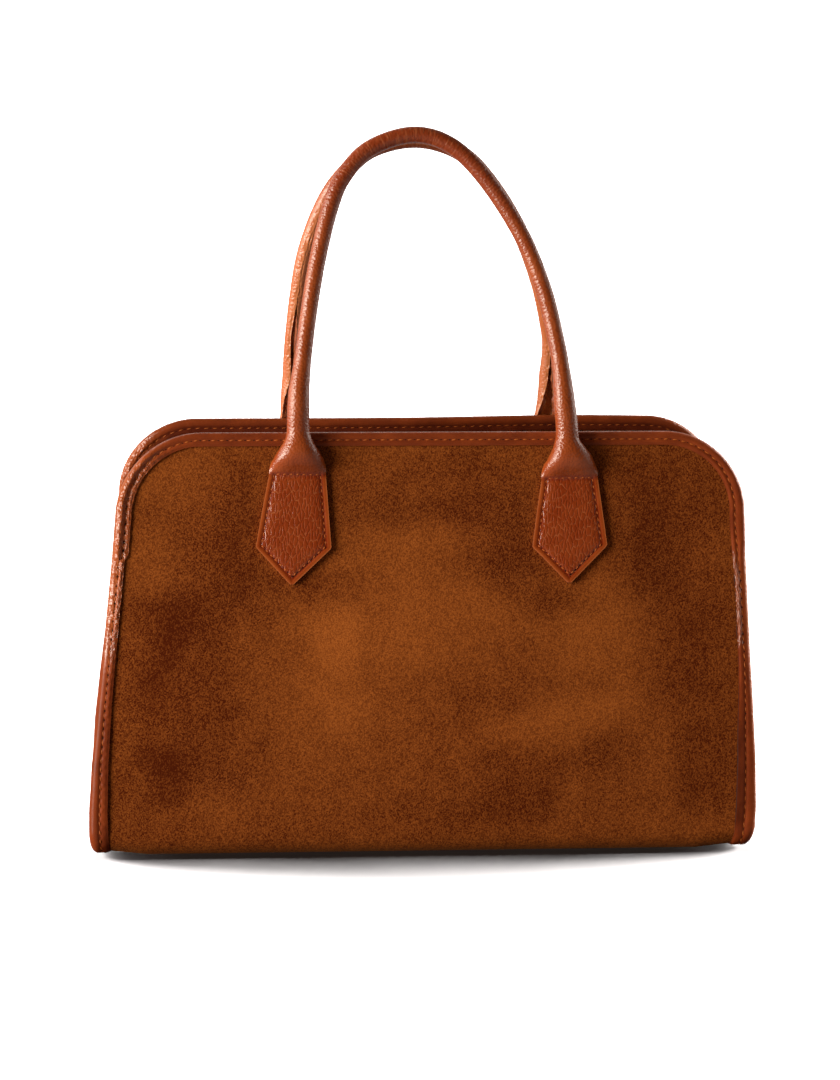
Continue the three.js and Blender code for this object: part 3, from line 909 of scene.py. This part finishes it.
# %% Strap stations
def strap_level(end, h):
    """The height that a strap's sizes are read at."""
    return h + SEAM_DROP[end] * eased(*DROP_GROWS, h)


def strap_size(name, level):
    """A strap's size, eased over a few millimetres above the cross seam so that the curl grows softly."""
    reach = CURL_REACH * eased(*CURL_GROWS, level)
    return float(np.mean(np.interp(level + reach * np.linspace(-1, 1, 7), END_H, END_COLUMNS[name])))


def through(points, steps):
    """A smooth line through points, as a list with this many steps from each to the next."""
    points = [np.array(point, float) for point in points]
    padded = [2 * points[0] - points[1], *points, 2 * points[-1] - points[-2]]
    line = []
    for a, b, c, d in zip(padded, padded[1:], padded[2:], padded[3:]):
        for t in np.arange(steps) / steps:
            line.append((2 * b + (c - a) * t + (2 * a - 5 * b + 4 * c - d) * t ** 2
                         + (3 * b - a - 3 * c + d) * t ** 3) / 2)
    return [*line, points[-1]]


def end_x(side, end, h):
    """x of the middle line of one end of a strap."""
    return float(np.interp(h, LINE_H, END_LINES[side, end]))


def strap_line(side):
    """The strap's middle line from one tab's point to the other's, as x and the wall's h."""
    up = np.linspace(END_H[0], H_ARCH, round((H_ARCH - END_H[0]) / STRAP_STEP))
    left, right = ([(end_x(side, end, h), h) for h in up] for end in (LEFT, RIGHT))
    arch = [tuple(point) for point in through([left[-1], *ARCHES[side], right[-1]], ARCH_STEPS)]
    return left + arch[1:-1] + right[::-1]


def strap_section(half, tilt, late):
    """A strip bent down towards its edges: shares of its half width, then sideways, height and tilt at
    each, and the half width of the strip laid flat."""
    share = np.linspace(0, 1, SECTION_STEPS + 1)
    turn = tilt * share ** late
    middle = (turn[1:] + turn[:-1]) / 2
    sideways = np.concatenate(([0], np.cumsum(np.cos(middle)))) / SECTION_STEPS
    height = -np.concatenate(([0], np.cumsum(np.sin(middle)))) / SECTION_STEPS
    size = half
    for _ in range(6):
        size *= half / np.max(sideways * size + STRAP / 2 * np.sin(turn))
    return share, sideways * size, height * size, turn, size


def strap_station(side, x, h, along, run=0.0):
    """All that is known of a strap at one place of its middle line."""
    end = LEFT if x < 0 else RIGHT
    level = strap_level(end, h)
    half, tilt, late, clear = (strap_size(name, level) for name in ("half", "tilt", "late", "clear"))
    for gap_side, gap_end, at_h, reach, angle in SLIT_GAPS:
        if (side, end) == (gap_side, gap_end):
            tilt -= angle * bell(h - at_h, reach)
    slant = 0.0
    if level < H_CROSS_SEAM:
        slant = strap_size("half", level + 0.5) - strap_size("half", level - 0.5)
    section = strap_section(half, tilt, late)
    return {"x": x, "h": h, "level": level, "section": section, "clear": clear, "slant": slant,
            "half": section[4], "across": along.y, "up": -along.x, "run": run}


def strap_stations(side):
    line = strap_line(side)
    stations, run = [], 0.0
    for i, (x, h) in enumerate(line):
        before, after = line[max(0, i - 1)], line[min(len(line) - 1, i + 1)]
        along = Vector((after[0] - before[0], after[1] - before[1])).normalized()
        if i:
            run += math.hypot(x - line[i - 1][0], h - line[i - 1][1])
        stations.append(strap_station(side, x, h, along, run))
    return stations


print("stations of the front strap:", len(strap_stations(FRONT)))

# %% [markdown]
# The tab isn't a plain slab either. Its seam presses a groove a few millimetres inside the edge, the middle
# swells a little between the seams, and the rim outside them lies flat. All three depend only on how far a
# point is from the tab's edge, so that distance is worked out once for each point. Along the tube the two
# raw edges meet as lips, which are never quite straight.

# %% Handles
STRAP_COLUMNS = 44
TAB_SEAM = 2.7
TAB_GROOVE, TAB_PUFF = 0.45, 0.22
LIP, LIP_REACH = 0.7, 1.3
# How much paler each strap's tube is drawn
TUBE_PALENESS = {FRONT: -0.02, BACK: 0.54}
STRAP_ROUNDING = 0.7
# Levels between which the tab's relief and its flat grain end, the lips grow, the tube is closed and the
# arch bends
RELIEF_END, GRAIN_END = (192.0, 195.0), (191.5, 193.5)
LIPS_GROW, TUBE_CLOSES, ARCH_BENDS = (205.0, 219.0), (198.0, 214.0), (300.0, 350.0)


def strap_relief(level, edge, run):
    """Height of a strap's surface over a plain strip, by the distance from its edge."""
    tab = 1 - eased(*RELIEF_END, level)
    groove = bell(edge - TAB_SEAM, 0.7) * tab
    cross = bell(level - H_CROSS_SEAM, 0.8) * eased(TAB_SEAM - 1, TAB_SEAM, edge)
    puff = eased(TAB_SEAM + 0.3, TAB_SEAM + 5, edge) * tab
    lip = eased(*LIPS_GROW, level) * bell(edge, LIP_REACH) * noise.noise(Vector((run / 1.9, edge, 7.0)))
    return TAB_PUFF * puff - TAB_GROOVE * max(groove, cross) + LIP * lip


def strap_point(side, station, share):
    """The point on a strap's outer face at a share of its half width, with its distance from the edge."""
    shares, sideways, heights, turns, half = station["section"]
    across, height, turn = (float(np.interp(abs(share), shares, row)) for row in (sideways, heights, turns))
    edge = half * (1 - abs(share)) / math.hypot(1, station["slant"])
    lift = STRAP / 2 + strap_relief(station["level"], edge, station["run"])
    across = math.copysign(across + lift * math.sin(turn), share)
    out = station["clear"] + STRAP / 2 + height - heights[-1] + lift * math.cos(turn)
    x = station["x"] + across * station["across"]
    return on_wall(side, x, station["h"] + across * station["up"], out), edge


def strap_keeps(side, level, edge):
    """What the leather's finish needs to know of a strap: flat, tight, wear_and_painted_light and bend."""
    flat = 1 - eased(*GRAIN_END, level)
    rim = flat * (1 - eased(TAB_SEAM - 0.8, TAB_SEAM, edge))
    bend = eased(*ARCH_BENDS, level)
    # seam darkens the tab's seam and the cross seam: painted shade in the grooves and under the flare's
    # overhang.
    seam = flat * bell(edge - TAB_SEAM, 0.6) + bell(level - H_CROSS_SEAM, 0.9)
    tube = (1 - flat) * (TUBE_PALENESS[side] - 0.14 * bend + 0.4 * bell(edge, 1.0))
    tab = flat * (0.5 * bell(edge, 0.7) - 0.14) + 0.25 * rim
    tight = (1 - flat) * (0.6 + 0.4 * eased(*TUBE_CLOSES, level))
    return [flat * (1 - rim), tight, tab + tube - 0.8 * min(1.0, seam), bend]


def handle_piece(name, side):
    stations = strap_stations(side)

    def place(column, row):
        station = stations[row]
        share = math.sin(math.pi * (column / STRAP_COLUMNS - 0.5))
        point, edge = strap_point(side, station, share)
        return point, (share * station["half"], station["run"]), strap_keeps(side, station["level"], edge)

    return lay_grid(name, STRAP_COLUMNS, len(stations) - 1, LEATHER_KEEPS, place, flip=side == BACK)


straps = []
for side, word in PANELS:
    handle = handle_piece(f"{word}_strap", side)
    thicken(handle, STRAP, [strap_leather, waxed_edge, flesh_side], edge=1, rounding=STRAP_ROUNDING, inner=2)
    straps.append(stands_for(handle, f"{word}_handle"))

# %% [markdown]
# ## The stitching
# The seams are sewn in thick waxed thread, a lighter orange than the leather. Its finish has two noises: a
# fine one for the twist of the thread and a slow one for wax that lies unevenly. The needle holes are nearly
# black, painted shade for their depth.

# %% Thread finish
THREAD_TONES = (0.26, 0.045, 0.003, 1), (0.52, 0.120, 0.009, 1)
# Nearly black: painted shade in the needle holes
HOLE_SHADE_TONES = (0.018, 0.004, 0.001, 1), (0.045, 0.010, 0.003, 1)
TWIST, UNEVEN = 2400.0, 90.0


def thread_finish():
    material, start, surface = new_finish("waxed_thread", {"Specular IOR Level": 0.25})
    twist = speckle(start.place(), TWIST, 2)
    uneven = speckle(start.place(), UNEVEN, 3)
    (0.6 * twist + 0.6 * uneven - 0.1).tint(*THREAD_TONES).feeds(surface, "Base Color")
    (0.75 - 0.25 * twist).feeds(surface, "Roughness")
    set_bump(twist, surface, 0.5, 0.0003)
    return material


def hole_shade_finish():
    material, start, surface = new_finish("needle_hole_shade", {"Specular IOR Level": 0.1})
    speckle(start.place(), 900, 2).tint(*HOLE_SHADE_TONES).feeds(surface, "Base Color")
    (0.8 + 0.2 * speckle(start.place(), 700, 1)).feeds(surface, "Roughness")
    return material


waxed_thread = thread_finish()
needle_hole_shade = hole_shade_finish()
print("finishes:", waxed_thread.name, needle_hole_shade.name)

# %% [markdown]
# Each stitch shows as a short bead that dives into a needle hole at both ends. One bead is a small sphere
# with few faces, drawn out along the seam and turned a little, as a sewing machine lays it; a dark, flat
# bead marks each hole, painted shade for its depth. All the stitches of a seam are one mesh.

# %% Stitch helpers
STITCH_TURN = math.radians(9)
STITCH_SINK, HOLE_SINK = 0.10, 0.30
BEADS_AT_ONCE = 20


def seam_places(points, pitch):
    """Places along a line of (point, normal), two for every pitch: point, direction and normal."""
    runs = [0.0]
    for (a, _), (b, _) in zip(points, points[1:]):
        runs.append(runs[-1] + (b - a).length)
    count = max(1, round(runs[-1] / (pitch * MM)))
    places = []
    for i in range(2 * count + 1):
        at = runs[-1] * i / (2 * count)
        k = min(len(points) - 2, int(np.searchsorted(runs, at, "right")) - 1)
        t = (at - runs[k]) / max(1e-9, runs[k + 1] - runs[k])
        (a, normal_a), (b, normal_b) = points[k], points[k + 1]
        places.append((a.lerp(b, t), (b - a).normalized(), normal_a.lerp(normal_b, t).normalized()))
    return places


def add_bead(bm, place, size, turn, sink):
    """A flattened bead of this length, width and height in mm, sunk by a share of its height."""
    point, along, normal = place
    along = Quaternion(normal, turn) @ along
    basis = Matrix((along, normal.cross(along), normal)).transposed().to_4x4()
    grow = Matrix.Diagonal((*(value * MM / 2 for value in size), 1))
    middle = point - normal * (size[2] * MM * sink)
    turned = Matrix.Translation(middle) @ basis @ grow
    bmesh.ops.create_uvsphere(bm, u_segments=6, v_segments=4, radius=1, matrix=turned)


def string_of_beads(beads):
    """One bmesh of many beads. They are made a few at a time, because adding to a small mesh is quick."""
    whole = bmesh.new()
    few_mesh = bpy.data.meshes.new("few")
    for start in range(0, len(beads), BEADS_AT_ONCE):
        few = bmesh.new()
        for bead in beads[start:start + BEADS_AT_ONCE]:
            add_bead(few, *bead)
        few.to_mesh(few_mesh)
        few.free()
        whole.from_mesh(few_mesh)
    bpy.data.meshes.remove(few_mesh)
    for face in whole.faces:
        face.smooth = True
    return whole


def sew(name, lines, pitch, size, hole):
    """Stitches along lines of (point, normal), each with their fullness, and dark beads in the needle holes,
    which are painted shade, as two pieces.
    """
    stitches, hole_shades = [], []
    luck = random.Random(name)
    for points, full in lines:
        for i, place in enumerate(seam_places(points, pitch)):
            if i % 2:
                bead = (size[0] * luck.uniform(0.9, 1.06), full * size[1], full * size[2])
                stitches.append((place, bead, STITCH_TURN * luck.uniform(0.4, 1.6), STITCH_SINK))
            else:
                hole_shades.append((place, [full * value for value in hole], 0.0, HOLE_SINK))
    for beads, word, finish in ((stitches, "thread", waxed_thread), (hole_shades, "hole_shades", needle_hole_shade)):
        piece = finish_piece(f"{name}_{word}", string_of_beads(beads))
        piece.data.materials.append(finish)
        print(piece.name, len(beads), "beads")


print("stitch helpers ready")

# %% [markdown]
# The seam of a binding runs through both of its legs, so it shows on the outer face and again, fainter,
# inside. The line is read from the same section as the leather, at the bottom of the groove. The normal is
# the direction in which the wall grows when it is pushed out by a millimetre.

# %% Sewing the bindings
BINDING_STITCH = (2.8, 0.8, 0.65)
BINDING_HOLE = (1.5, 1.1, 0.5)
OUTWARDS, INWARDS = 1.0, -1.0
FULLNESS = {OUTWARDS: 1.0, INWARDS: 0.65}


def wall_normal(side, x, h, way):
    return (on_wall(side, x, h, way) - on_wall(side, x, h, 0.0)).normalized()


def binding_seam(side, way):
    line = []
    for x, h, out_x, out_h, _ in edge_stations(side):
        end = LEFT if x < 0 else RIGHT
        leg, inset = outer_leg(end, h) if way == OUTWARDS else (INNER_LEG, INNER_SEAM)
        relief = binding_relief(end, h, inset, leg, inset)
        out = GAP + BINDING + relief
        if way == INWARDS:
            out = -held_layers(h) - GAP - BINDING - INNER_RELIEF * relief
        at_x, at_h = x - inset * out_x, h - inset * out_h
        line.append((on_wall(side, at_x, at_h, out), wall_normal(side, at_x, at_h, way)))
    return line


for side, word in PANELS:
    lines = [(binding_seam(side, way), full) for way, full in FULLNESS.items()]
    sew(f"{word}_binding_seam", lines, BINDING_PITCH, BINDING_STITCH, BINDING_HOLE)

# %% [markdown]
# A tab is sewn along its two sides, its point and across its top. The corners of that line are the tab's own
# corners drawn in by the seam's distance from the edge, and the points between them are read off the strap's
# surface.

# %% Sewing the tabs
TAB_PITCH = 3.3
TAB_STITCH = (2.1, 0.78, 0.6)
TAB_HOLE = (1.3, 1.05, 0.5)
# Levels of the seam's corners on the tab's sides, and how far the seam is drawn in there and at the point
SEAM_LEVELS = (H_CROSS_SEAM, 174.0, 156.4)
SIDE_IN, POINT_IN = TAB_SEAM * 1.05, 0.2 + TAB_SEAM * 1.42


def tab_corners():
    """Corners of the tab's seam as (sideways, level), from the right end of the cross seam round and back."""
    sides = [(strap_size("half", level) - SIDE_IN, level) for level in SEAM_LEVELS]
    point = (0.0, END_H[0] + POINT_IN)
    return [*sides, point, *[(-s, level) for s, level in reversed(sides)], sides[0]]


def tab_seam(side, end):
    """The tab's seam as (point, normal) on the strap's surface."""
    corners = tab_corners()
    line = []
    for (s0, level0), (s1, level1) in zip(corners, corners[1:]):
        steps = max(2, round(math.hypot(s1 - s0, level1 - level0)))
        for t in np.arange(steps) / steps:
            s, level = s0 + (s1 - s0) * t, level0 + (level1 - level0) * t
            h = level - (strap_level(end, level) - level)
            x = end_x(side, end, h)
            along = Vector((end_x(side, end, h + 1) - end_x(side, end, h - 1), 2.0)).normalized()
            station = strap_station(side, x, h, along)
            point, _ = strap_point(side, station, s / station["half"])
            line.append((point, wall_normal(side, x + s, h, OUTWARDS)))
    return [*line, line[0]]


for side, word in PANELS:
    lines = [(tab_seam(side, end), 1.0) for end in (LEFT, RIGHT)]
    sew(f"{word}_tab_seam", lines, TAB_PITCH, TAB_STITCH, TAB_HOLE)

# %% [markdown]
# ## The floor
# The bag stands on a plain white floor that runs off to white. As in a studio, the floor and the bag are lit
# apart. The white floor is only seen by the camera; a grey one at the same height takes its place for the
# light that the floor throws back, which would wash out the leather.

# %% Floor
FLOOR_HALF = 400.0
FLOOR_BELOW = -0.0004
GRIT = 300.0


def add_floor(name, pale, paler):
    """A wide level sheet under the bag, in a nearly even colour."""
    bm = bmesh.new()
    bmesh.ops.create_grid(bm, x_segments=2, y_segments=2, size=FLOOR_HALF)
    bmesh.ops.translate(bm, verts=bm.verts[:], vec=(0, 0, FLOOR_BELOW))
    sheet = new_object(name, bm)
    sheet.visible_shadow = False
    material, start, surface = new_finish(name, {"Specular IOR Level": 0.0})
    colours = [(tone, 0.95 * tone, 0.94 * tone, 1) for tone in (pale, paler)]
    speckle(start.place(), GRIT, 2).tint(*colours).feeds(surface, "Base Color")
    sheet.data.materials.append(material)
    return sheet


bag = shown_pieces()
white_floor = add_floor("white_floor", 0.45, 0.465)
white_floor.visible_diffuse = False
white_floor.visible_glossy = False
grey_floor = add_floor("grey_floor", 0.145, 0.155)
grey_floor.visible_camera = False
print("floors:", white_floor.name, grey_floor.name)

# %% [markdown]
# ## The light
# Soft windows light the bag: the strongest stands front left, with weak ones behind and at the right. The
# bindings have two lamps of their own, one for the pale rim at the right and a small one for the glints at
# the left, and the straps have one on each side for the highlights on their flanks. Three distant lamps
# light the floor alone. One stands high behind the bag and leaves a short soft shadow in front of it; two
# low ones at the sides keep the floor white at the ends of the base. Light linking says which lamp reaches
# what.

# %% Lights
# Soft windows: name, place, width and height in metres, power in watts, what they light
WINDOWS = (
    ("left_window", (-2.70, -1.32, 0.72), (1.6, 1.8), 170.0, bag),
    ("back_window", (-0.40, 1.60, 1.20), (2.0, 0.5), 3.0, bag),
    ("right_window", (1.20, 0.50, 0.45), (0.8, 1.0), 6.5, bag),
    ("right_rim", (1.10, 0.30, 0.60), (0.8, 1.0), 22.0, bindings),
    ("left_spark", (-2.40, -0.70, 0.75), (0.35, 0.35), 19.0, bindings),
    ("left_strip", (-1.25, 0.00, 0.50), (1.0, 1.0), 18.0, straps),
    ("right_strip", (1.20, -0.10, 0.50), (0.9, 1.0), 2.7, straps),
)
# Distant lamps for the floor: name, the way they shine from, strength, spread in degrees, what they reach
FLOOR_LAMPS = (
    ("floor_lamp", (0.0, 0.309, 0.951), 8.8, 20, [white_floor, grey_floor]),
    ("left_floor_lamp", (-0.85, 0.49, 0.21), 34.0, 30, [white_floor]),
    ("right_floor_lamp", (0.91, 0.36, 0.21), 34.0, 30, [white_floor]),
)
MIDDLE, BASE = (0, 0, 0.16), (0, 0, 0)


def add_lamp(lamp, place, aim, receivers):
    """A lamp at a place, turned to its aim, that lights only its receivers."""
    lit = bpy.data.collections.new(f"{lamp.name}_lit")
    for one in receivers:
        lit.objects.link(one)
    light = bpy.data.objects.new(lamp.name, lamp)
    light.location = place
    light.rotation_euler = (Vector(aim) - Vector(place)).to_track_quat("-Z", "Y").to_euler()
    light.light_linking.receiver_collection = lit
    scene.collection.objects.link(light)


for name, place, size, power, lit in WINDOWS:
    window = bpy.data.lights.new(name, "AREA")
    window.shape = "RECTANGLE"
    window.size, window.size_y = size
    window.energy = power
    add_lamp(window, place, MIDDLE, lit)
for name, above, power, spread, floors in FLOOR_LAMPS:
    lamp = bpy.data.lights.new(name, "SUN")
    lamp.energy = power
    lamp.angle = math.radians(spread)
    add_lamp(lamp, above, BASE, floors)
print("lights:", [name for name, *_ in WINDOWS + FLOOR_LAMPS])

# %% [markdown]
# Behind the bag stands a white backdrop, and the rest of the room is dim. The backdrop hardly lights the
# front, but it shows in every surface that is seen edge-on: the rims of the tubes and the fold of the
# bindings get their pale line from it. In the world's nodes a direction stands where a surface would have a
# place, so the brightness can depend on it. Where the room itself can be seen past the floor's far edge it
# is white.

# %% Room
ROOM_FRONT, ROOM_BACKDROP, ROOM_SEEN = 0.04, 0.8, 2.0
ROOM_TINT = (1.0, 0.78, 0.68, 1)
world = bpy.data.worlds.new("white_room")
world.use_nodes = True
scene.world = world
room = Field(world.node_tree)
towards = room.node("ShaderNodeTexCoord", {}, {}, "Generated")
ahead = room.node("ShaderNodeSeparateXYZ", {}, {0: towards}, "Y")
seen = room.node("ShaderNodeLightPath", {}, {}, "Is Camera Ray")
light_of_room = ROOM_FRONT + (ROOM_BACKDROP - ROOM_FRONT) * ahead.between(0.1, 0.7)
backdrop = world.node_tree.nodes["Background"]
backdrop.inputs["Color"].default_value = ROOM_TINT
(light_of_room + ROOM_SEEN * seen).feeds(backdrop, "Strength")
print("room:", world.name)
